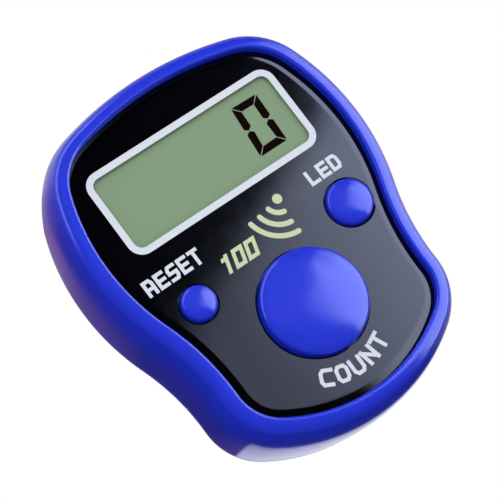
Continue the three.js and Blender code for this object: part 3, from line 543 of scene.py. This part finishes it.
def build_digit():
    """The zero of the display: six bars with slanting mitres and narrow gaps."""
    top_left, top_right, bottom_right, bottom_left = [Vector(corner) for corner in DIGIT_CORNERS]
    across = (top_right - top_left).normalized()
    down = (bottom_left - top_left).normalized()

    def level_bar(left, right, inward):
        """The bar between two corners."""
        inner_left = left + (inward + across) * DIGIT_WEIGHT - inward * DIGIT_GAP
        inner_right = right + (inward - across) * DIGIT_WEIGHT - inward * DIGIT_GAP
        return [left + across * DIGIT_CORNER_GAP, right - across * DIGIT_CORNER_GAP, inner_right, inner_left]

    def upright_bar(corner, side, inward, onward):
        """The bar that goes onward from a corner to the middle of its side."""
        return [
            corner + onward * DIGIT_CORNER_GAP,
            side - onward * DIGIT_OUTER_STOP,
            side + inward * DIGIT_WEIGHT / 2 - onward * DIGIT_TIP_STOP,
            side + inward * DIGIT_WEIGHT - onward * DIGIT_INNER_STOP,
            corner + (inward + onward) * DIGIT_WEIGHT - inward * DIGIT_GAP,
        ]

    right_side = (top_right + bottom_right) / 2
    left_side = (top_left + bottom_left) / 2
    bars = [
        level_bar(top_left, top_right, down),
        level_bar(bottom_left, bottom_right, -down),
        upright_bar(top_right, right_side, -across, down),
        upright_bar(bottom_right, right_side, -across, -down),
        upright_bar(top_left, left_side, across, down),
        upright_bar(bottom_left, left_side, across, -down),
    ]
    return sheet("display_digit", bars, FILM_TOP + PRINT_LIFT, DIGIT_DEPTH)


def build_display():
    """The green film in the window, a little under the face."""
    film = rectangle_ring(WINDOW_SIZE.x - FILM_FIT, WINDOW_SIZE.y - FILM_FIT, WINDOW_CORNER)
    return sheet("display_sheet", [film], FILM_TOP - FILM_DEPTH, FILM_DEPTH)


# Materials

# What all finishes share: how strongly they bend light, how far the colour varies, and how fine the grain is
IOR = 1.5
TINT_SPREAD = 0.06
GRAIN_DETAIL = 4.0


def material(name, base, roughness, mottle, metallic=0.0, specular=0.5, scale=900.0):
    """A finish whose roughness varies by the mottle over the surface, and whose colour varies a little."""
    made = bpy.data.materials.new(name)
    made.use_nodes = True
    nodes, links = made.node_tree.nodes, made.node_tree.links
    shader = nodes["Principled BSDF"]
    shader.inputs["Base Color"].default_value = (*base, 1)
    shader.inputs["Roughness"].default_value = roughness
    shader.inputs["Metallic"].default_value = metallic
    shader.inputs["IOR"].default_value = IOR
    shader.inputs["Specular IOR Level"].default_value = specular
    place = nodes.new("ShaderNodeTexCoord")
    noise = nodes.new("ShaderNodeTexNoise")
    noise.inputs["Scale"].default_value = scale
    noise.inputs["Detail"].default_value = GRAIN_DETAIL
    links.new(place.outputs["Object"], noise.inputs["Vector"])
    rough = nodes.new("ShaderNodeMapRange")
    rough.inputs["To Min"].default_value = roughness - mottle
    rough.inputs["To Max"].default_value = roughness + mottle
    links.new(noise.outputs["Fac"], rough.inputs["Value"])
    links.new(rough.outputs["Result"], shader.inputs["Roughness"])
    tint = nodes.new("ShaderNodeMix")
    tint.data_type = "RGBA"
    tint.inputs["A"].default_value = (*[part * (1 - TINT_SPREAD) for part in base], 1)
    tint.inputs["B"].default_value = (*[part * (1 + TINT_SPREAD) for part in base], 1)
    links.new(noise.outputs["Fac"], tint.inputs["Factor"])
    links.new(tint.outputs["Result"], shader.inputs["Base Color"])
    return made


BLUE = (0.018, 0.040, 0.70)

FINISHES = {
    "glossy_blue": material("blue_gloss", BLUE, 0.16, mottle=0.015, scale=300),
    "glossy_black": material("black_gloss", (0.0012, 0.0012, 0.0022), 0.07, mottle=0.03, scale=500),
    "clear_window": material("display_glass", (0.75, 0.80, 0.76), 0.05, mottle=0.02),
    "display_film": material(
        "green_film", (0.243, 0.347, 0.194), 0.45, mottle=0.03, specular=0.1, scale=2500
    ),
    "milk_plastic": material("milk_white", (0.80, 0.81, 0.78), 0.45, mottle=0.05),
    "dark_plastic": material("black_matte", (0.012, 0.012, 0.014), 0.5, mottle=0.08),
    "elastomer": material("grey_rubber", (0.07, 0.06, 0.065), 0.8, mottle=0.1),
    "board_green": material("board_mask", (0.012, 0.15, 0.045), 0.4, mottle=0.08),
    "steel": material("bright_steel", (0.55, 0.56, 0.58), 0.28, mottle=0.06, metallic=1.0),
    "brass": material("plain_brass", (0.62, 0.40, 0.09), 0.3, mottle=0.06, metallic=1.0),
    "ceramic": material("fired_ceramic", (0.82, 0.79, 0.70), 0.6, mottle=0.08),
    "wire": material("wire_red", (0.40, 0.02, 0.02), 0.5, mottle=0.08),
}
CAP_BLUE = material("blue_satin", BLUE, 0.19, mottle=0.015, scale=300)
INK_WHITE = material("ink_white", (0.75, 0.79, 0.82), 0.5, mottle=0.05, specular=0.1, scale=4000)
INK_CREAM = material("ink_cream", (0.66, 0.71, 0.42), 0.5, mottle=0.05, specular=0.1, scale=4000)
DIGIT_DARK = material("digit_dark", (0.007, 0.004, 0.003), 0.6, mottle=0.05, specular=0.0, scale=4000)


def dress(piece, finish, body="case", nodes=()):
    """Gives a piece its finish and its body, and hides the nodes that it stands for."""
    piece.data.materials.clear()
    piece.data.materials.append(finish)
    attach(piece, body)
    if nodes:
        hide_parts(*nodes)


for row in frame["record"]["subparts"]:
    node = NODES[row["node"]]
    node.data.materials.clear()
    node.data.materials.append(FINISHES[row["material_slot"]])

dress(build_housing(), FINISHES["glossy_blue"], nodes=["front_housing"])
dress(build_plate(), FINISHES["glossy_black"], nodes=["face_plate"])
for key in CAPS:
    dress(build_button(key), CAP_BLUE, key + "_key", [key + "_button"])
dress(build_display(), FINISHES["display_film"], nodes=["display_window"])
dress(build_digit(), DIGIT_DARK)
dress(build_border(), INK_WHITE)

reset = word("label_reset", "RESET", (-13.0, 1.02), (-6.15, 1.08), height=1.8, weight=0.37, gap=0.22)
led = word("label_led", "LED", (7.73, 1.32), (11.83, 1.36), height=1.72, weight=0.38, gap=0.2)
count = arc_word("label_count", "COUNT", (0, -8.5), 7.62, first=-116, last=-64, size=(1.5, 1.9), weight=0.4)
hundred = word(
    "label_hundred", "100", (-5.6, -1.42), (-1.1, -1.42), height=2.0, weight=0.42, gap=0.22, slant=0.3
)
for label in (reset, led, count):
    dress(label, INK_WHITE)
dress(hundred, INK_CREAM)
dress(build_symbol(), INK_CREAM)


# Studio

def bare_material(name):
    """A new material with no nodes, and its nodes and links."""
    made = bpy.data.materials.new(name)
    made.use_nodes = True
    made.node_tree.nodes.clear()
    return made, made.node_tree.nodes, made.node_tree.links


def glowing(name, rows, strength):
    """A sheet of light seen only in reflections: rows of places, and the light at each as strength tells."""
    mesh = bmesh.new()
    layer = mesh.verts.layers.float_color.new("glow")
    grid = []
    for row in rows:
        verts = []
        for place, key in row:
            vert = mesh.verts.new(place)
            vert[layer] = (*strength(*key), 1.0)
            verts.append(vert)
        grid.append(verts)
    for first, second in zip(grid, grid[1:]):
        for i in range(len(first) - 1):
            mesh.faces.new((first[i], first[i + 1], second[i + 1], second[i]))
    data = bpy.data.meshes.new(name)
    mesh.to_mesh(data)
    mesh.free()
    made = add(name, data)
    finish, nodes, links = bare_material(name)
    glow = nodes.new("ShaderNodeAttribute")
    glow.attribute_name = "glow"
    emit = nodes.new("ShaderNodeEmission")
    out = nodes.new("ShaderNodeOutputMaterial")
    links.new(glow.outputs["Color"], emit.inputs["Color"])
    links.new(emit.outputs["Emission"], out.inputs["Surface"])
    data.materials.append(finish)
    made.visible_camera = False
    made.visible_diffuse = False
    made.visible_shadow = False


def smooth(value, start, end):
    """Goes smoothly from 0 at start to 1 at end."""
    share = min(1.0, max(0.0, (value - start) / (end - start)))
    return share * share * (3 - 2 * share)


def along(line, x):
    """The height of a line of points at x."""
    for (x0, y0), (x1, y1) in zip(line, line[1:]):
        if x0 <= x <= x1:
            return y0 + (y1 - y0) * (x - x0) / (x1 - x0)
    return line[0][1] if x < line[0][0] else line[-1][1]


def graded(start, end, step, growth=1.0):
    """Places from start to end, whose spacing begins at step and grows steadily."""
    places = [start]
    way = 1 if end > start else -1
    while (end - places[-1]) * way > step:
        places.append(places[-1] + way * step)
        step *= growth
    return places + [end]


# The ceiling light is laid out in slopes: how far its place lies to the right and up, per unit of height.
# Two lines bound it, and its level grows to the right.
CEILING = 5.0
KEY_UPPER = [(0.21, 0.03), (0.25, 0.143), (0.433, 0.221), (0.64, 0.54), (3.3, 2.83)]
KEY_LOWER = [(0.21, 0.03), (0.28, -0.07), (0.38, -0.18), (0.87, -0.85), (3.3, -4.3)]
KEY_LEVEL = [(0.30, 1.2), (0.36, 2.2), (0.42, 3.4), (0.60, 4.2), (3.3, 4.5)]
KEY_TINT = (1, 1.12, 1.6)

# The width of its soft edge, which grows to the right from a given slope on
KEY_SOFT = 0.014
KEY_SOFT_GROWTH = 0.05
KEY_SOFT_FROM = 0.4

# How much dimmer it is at its upper right, by the steepness of the way there and by the slope to the right
KEY_DIMMER = 0.55
KEY_DIM_STEEPNESS = (0.3, 0.7)
KEY_DIM_RIGHT = (0.6, 0.9)

# The mesh: its reach, how far it stays fine, and its spacing
KEY_LEFT, KEY_RIGHT = 0.2, 3.3
KEY_BOTTOM, KEY_TOP = -4.8, 2.9
KEY_FINE_RIGHT = 0.48
KEY_FINE_TOP = 0.3
KEY_STEP = 0.004
KEY_GROWTH = 1.08


def key_strength(right, up):
    """The light of the ceiling card at a slope."""
    soft = KEY_SOFT + KEY_SOFT_GROWTH * max(0.0, right - KEY_SOFT_FROM)
    inside = smooth(along(KEY_UPPER, right) - up, 0, soft) * smooth(up - along(KEY_LOWER, right), 0, soft)
    dim = KEY_DIMMER * smooth(up / right, *KEY_DIM_STEEPNESS) * smooth(right, *KEY_DIM_RIGHT)
    level = along(KEY_LEVEL, right) * inside * (1 - dim)
    return [level * part for part in KEY_TINT]


def build_key():
    """The ceiling card, in metres over the object."""
    across = graded(KEY_LEFT, KEY_FINE_RIGHT, KEY_STEP)
    across += graded(KEY_FINE_RIGHT, KEY_RIGHT, KEY_STEP, KEY_GROWTH)[1:]
    upward = graded(0.0, KEY_BOTTOM, KEY_STEP, KEY_GROWTH)[:0:-1]
    upward += graded(0.0, KEY_FINE_TOP, KEY_STEP)
    upward += graded(KEY_FINE_TOP, KEY_TOP, KEY_STEP, KEY_GROWTH)[1:]
    rows = [[((x * CEILING, y * CEILING, CEILING), (x, y)) for x in across] for y in upward]
    glowing("key_card", rows, key_strength)


build_key()

# Upright cards that carry light down to the horizon: the bearings they span, and their level there. The fade
# is the share of the height where they are dark, and the one below which they are full.
KEY_SIDE = [(-53, 0), (-45, 4.8), (5, 4.8), (32, 1.6), (40, 0)]
LEFT_BAND = [(75, 0), (83, 2.6), (152, 2.6), (160, 0)]
LEFT_BAND_TINT = (1, 1.1, 1.4)
SIDE_REACH = KEY_RIGHT * CEILING
LEFT_BAND_TOP = 0.36 * SIDE_REACH
SIDE_STEPS = 8
SIDE_FADE = (1, 0.7)


def build_side(name, levels, tint, top):
    """An upright card round the object, in metres, from the table up to the given height."""

    def strength(bearing_deg, share):
        level = along(levels, bearing_deg) * smooth(share, *SIDE_FADE)
        return [level * part for part in tint]

    rows = []
    shares = [i / SIDE_STEPS for i in range(SIDE_STEPS + 1)]
    for bearing_deg in range(levels[0][0], levels[-1][0] + 1):
        angle = math.radians(bearing_deg)
        x, y = SIDE_REACH * math.cos(angle), SIDE_REACH * math.sin(angle)
        rows.append([((x, y, top * share), (bearing_deg, share)) for share in shares])
    glowing(name, rows, strength)


build_side("key_side", KEY_SIDE, KEY_TINT, CEILING)
build_side("left_band", LEFT_BAND, LEFT_BAND_TINT, LEFT_BAND_TOP)


def sun(name, way, spread, energy):
    """A soft distant lamp that shines from the direction of way, and isn't seen in reflections."""
    light = bpy.data.lights.new(name, "SUN")
    light.angle = math.radians(spread)
    light.energy = energy
    made = add(name, light)
    made.rotation_mode = "QUATERNION"
    made.rotation_quaternion = way.to_track_quat("Z", "Y")
    made.visible_glossy = False


sun("fill_lamp", Vector((-0.1, 0.55, 1.0)), spread=60, energy=1.25)
sun("under_lamp", Vector((0, 0, -1)), spread=10, energy=2.4)

# The glow round the object stands for the tabletop as it shows in the walls: a sheet seen only in reflections,
# whose painted light gives painted reflections there. A patch of painted white light lies close to the foot
# between two bearings, and reaches a little further where they begin. A pair gives where a change starts and
# where it is complete.
GLOW_CENTRE = (0.0, -0.8)
WHITE_GLOW_START = (229.5, 230.1)
WHITE_GLOW_END = (350, 330)
WHITE_GLOW_REACH = 24.0
WHITE_GLOW_BULGE = 0.9
WHITE_GLOW_BULGE_BEARINGS = (246, 232)
WHITE_GLOW_SOFT = 0.8
WHITE_GLOW_LEVEL = 1.08
WHITE_GLOW_TINT = (1, 1, 1.1)

# Each row has a bearing, and the level of the glow's painted light there close to the object, further out and
# far away. Where the close level is below the one further out, it is painted shade near the foot.
TABLE_GLOW = [
    (0, 0.45, 1.0, 2.2),
    (26, 0.4, 0.6, 1.2),
    (43, 0.35, 0.3, 0.4),
    (57, 0.7, 0.45, 0.5),
    (82, 0.8, 0.5, 0.5),
    (95, 0.75, 0.6, 0.5),
    (107, 0.65, 0.75, 0.8),
    (124, 0.32, 0.75, 1.0),
    (132, 0.36, 0.45, 0.8),
    (145, 0.36, 0.13, 0.5),
    (157, 0.22, 0.08, 0.2),
    (170, 0.15, 0.06, 0.1),
    (188, 0.05, 0.03, 0.03),
    (218, 0.04, 0.03, 0.03),
    (228, 0.12, 0.03, 0.03),
    (300, 0.03, 0.03, 0.05),
    (320, 0.5, 0.5, 0.8),
    (360, 0.45, 1.0, 2.2),
]
MIDDLE_REACH = (22, 28)
FAR_REACH = (32, 60)

# Its colour, and what is added to it far away and where the glow is purple: painted colours of the reflections
TABLE_GLOW_TINT = (1, 0.95, 1.05)
FAR_TINT = (0, 0, 0.45)
PURPLE_TINT = (0, -0.4, -0.15)
PURPLE_START = (118, 138)
PURPLE_END = (230, 228)

# The mesh: how far it lies below the foot and clear of it, its even steps up to the end of the near part, and
# the growing ones from there on
TABLE_DROP = 0.02
FOOT_CLEAR = 0.05
NEAR_END = 26.0
NEAR_STEPS = 26
TABLE_END = 300.0
TABLE_STEP = 0.4
TABLE_GROWTH = 1.3


def table_glow_strength(bearing_deg, reach):
    """The painted light of the glow at a bearing and reach from the glow's centre."""
    white_glow_end = WHITE_GLOW_REACH + WHITE_GLOW_BULGE * smooth(bearing_deg, *WHITE_GLOW_BULGE_BEARINGS)
    # The mask of the patch of painted white light close to the foot, a painted reflection in the wall
    white_glow = smooth(reach, white_glow_end + WHITE_GLOW_SOFT / 2, white_glow_end - WHITE_GLOW_SOFT / 2)
    white_glow *= smooth(bearing_deg, *WHITE_GLOW_START) * smooth(bearing_deg, *WHITE_GLOW_END)
    close, middle, far = (along([(row[0], row[i]) for row in TABLE_GLOW], bearing_deg) for i in (1, 2, 3))
    out, away = smooth(reach, *MIDDLE_REACH), smooth(reach, *FAR_REACH)
    level = ((close * (1 - out) + middle * out) * (1 - away) + far * away) * (1 - white_glow)
    purple = smooth(bearing_deg, *PURPLE_START) * smooth(bearing_deg, *PURPLE_END)
    light = []
    for white, plain, added_far, added_purple in zip(WHITE_GLOW_TINT, TABLE_GLOW_TINT, FAR_TINT, PURPLE_TINT):
        colour = plain + away * added_far + purple * added_purple
        light.append(white_glow * WHITE_GLOW_LEVEL * white + level * colour)
    return light


def foot_line():
    """The foot of the wall as it lies round the glow's centre: (bearing, reach) in order."""
    foot = face_ring(RIM_REACH - WALL_DRAFT + FOOT_CLEAR)
    places = [(x - GLOW_CENTRE[0], y - GLOW_CENTRE[1]) for x, y in foot]
    return sorted((math.degrees(math.atan2(y, x)) % 360, math.hypot(x, y)) for x, y in places)


def build_table_glow():
    """The sheet of painted light from the foot of the wall outwards, with nothing under the object."""
    foot = foot_line()
    rows = []
    for bearing_deg in range(0, 361):
        angle = math.radians(bearing_deg)
        start = along(foot, bearing_deg)
        near = [start + (NEAR_END - start) * i / NEAR_STEPS for i in range(NEAR_STEPS)]
        row = []
        for reach in near + graded(NEAR_END, TABLE_END, TABLE_STEP, TABLE_GROWTH):
            x = (GLOW_CENTRE[0] + reach * math.cos(angle)) * MM
            y = (GLOW_CENTRE[1] + reach * math.sin(angle)) * MM
            row.append(((x, y, -TABLE_DROP * MM), (bearing_deg, reach)))
        rows.append(row)
    glowing("table_glow", rows, table_glow_strength)


build_table_glow()

FLOOR_REACH = 1000.0
FLOOR_DROP = 0.1


def build_floor():
    """The plain white floor that the camera sees. Its underside is clear, so the back can be looked at."""
    solid = Solid()
    solid.mesh.faces.new(solid.ring(circle_ring(0, 0, FLOOR_REACH), -FLOOR_DROP))
    made = solid.finish("floor")
    if made.data.polygons[0].normal.z < 0:
        made.data.flip_normals()
    finish, nodes, links = bare_material("floor_white")
    side = nodes.new("ShaderNodeNewGeometry")
    white = nodes.new("ShaderNodeEmission")
    clear = nodes.new("ShaderNodeBsdfTransparent")
    either = nodes.new("ShaderNodeMixShader")
    out = nodes.new("ShaderNodeOutputMaterial")
    links.new(side.outputs["Backfacing"], either.inputs["Fac"])
    links.new(white.outputs["Emission"], either.inputs[1])
    links.new(clear.outputs["BSDF"], either.inputs[2])
    links.new(either.outputs["Shader"], out.inputs["Surface"])
    made.data.materials.append(finish)
    made.visible_diffuse = False
    made.visible_glossy = False
    made.visible_shadow = False


build_floor()

# The room: its light from below and above the horizon, and what reflections see there
LIGHT_BELOW = (0.06, 0.06, 0.06)
LIGHT_ABOVE = (0.57, 0.58, 0.65)
MIRRORED_BELOW = (0.45, 0.45, 0.47)
MIRRORED_ABOVE = (0.010, 0.010, 0.013)
CAMERA_SEES = (1, 1, 1)
HORIZON_SOFT = 0.05


def build_world():
    """Even light from above and little from below. Reflections see a dark room over a pale ground, and the
    camera sees white."""
    world = bpy.data.worlds.new("studio")
    bpy.context.scene.world = world
    world.use_nodes = True
    nodes, links = world.node_tree.nodes, world.node_tree.links
    nodes.clear()

    def colour_mix(first=None, second=None):
        """A mix of two colours, each set here or linked later."""
        mix = nodes.new("ShaderNodeMix")
        mix.data_type = "RGBA"
        for socket, colour in (("A", first), ("B", second)):
            if colour:
                mix.inputs[socket].default_value = (*colour, 1)
        return mix

    place = nodes.new("ShaderNodeTexCoord")
    split = nodes.new("ShaderNodeSeparateXYZ")
    links.new(place.outputs["Generated"], split.inputs["Vector"])
    above = nodes.new("ShaderNodeMapRange")
    above.inputs["From Min"].default_value = -HORIZON_SOFT
    above.inputs["From Max"].default_value = HORIZON_SOFT
    links.new(split.outputs["Z"], above.inputs["Value"])
    light = colour_mix(LIGHT_BELOW, LIGHT_ABOVE)
    links.new(above.outputs["Result"], light.inputs["Factor"])
    mirrored = colour_mix(MIRRORED_BELOW, MIRRORED_ABOVE)
    links.new(above.outputs["Result"], mirrored.inputs["Factor"])
    rays = nodes.new("ShaderNodeLightPath")
    room = colour_mix()
    links.new(light.outputs["Result"], room.inputs["A"])
    links.new(mirrored.outputs["Result"], room.inputs["B"])
    links.new(rays.outputs["Is Glossy Ray"], room.inputs["Factor"])
    seen = colour_mix(second=CAMERA_SEES)
    links.new(room.outputs["Result"], seen.inputs["A"])
    links.new(rays.outputs["Is Camera Ray"], seen.inputs["Factor"])
    back = nodes.new("ShaderNodeBackground")
    links.new(seen.outputs["Result"], back.inputs["Color"])
    out = nodes.new("ShaderNodeOutputWorld")
    links.new(back.outputs["Background"], out.inputs["Surface"])


build_world()

# The camera, fitted to the display, the rim and the silhouette in the photo: where it stands, how far it
# leans from straight down, which way, and how far it is turned about its own axis
CAMERA_PLACE = (-64.7966, -32.1924, 198.2612)
CAMERA_LEAN = math.radians(20.6801)
CAMERA_HEADING = math.radians(-63.3117)
CAMERA_TURN = math.radians(27.8792)


def build_camera():
    lens = bpy.data.cameras.new("camera")
    lens.lens = 144.0
    lens.sensor_width = 36.0
    lens.clip_start = 0.01
    lens.clip_end = 10.0
    camera = add("camera", lens)
    heading = Matrix.Rotation(CAMERA_HEADING, 4, "Z")
    lean = Matrix.Rotation(CAMERA_LEAN, 4, "X")
    turn = Matrix.Rotation(CAMERA_TURN, 4, "Z")
    camera.matrix_world = Matrix.Translation(Vector(CAMERA_PLACE) * MM) @ heading @ lean @ turn
    bpy.context.scene.camera = camera


build_camera()
bpy.context.scene.view_settings.view_transform = "Standard"
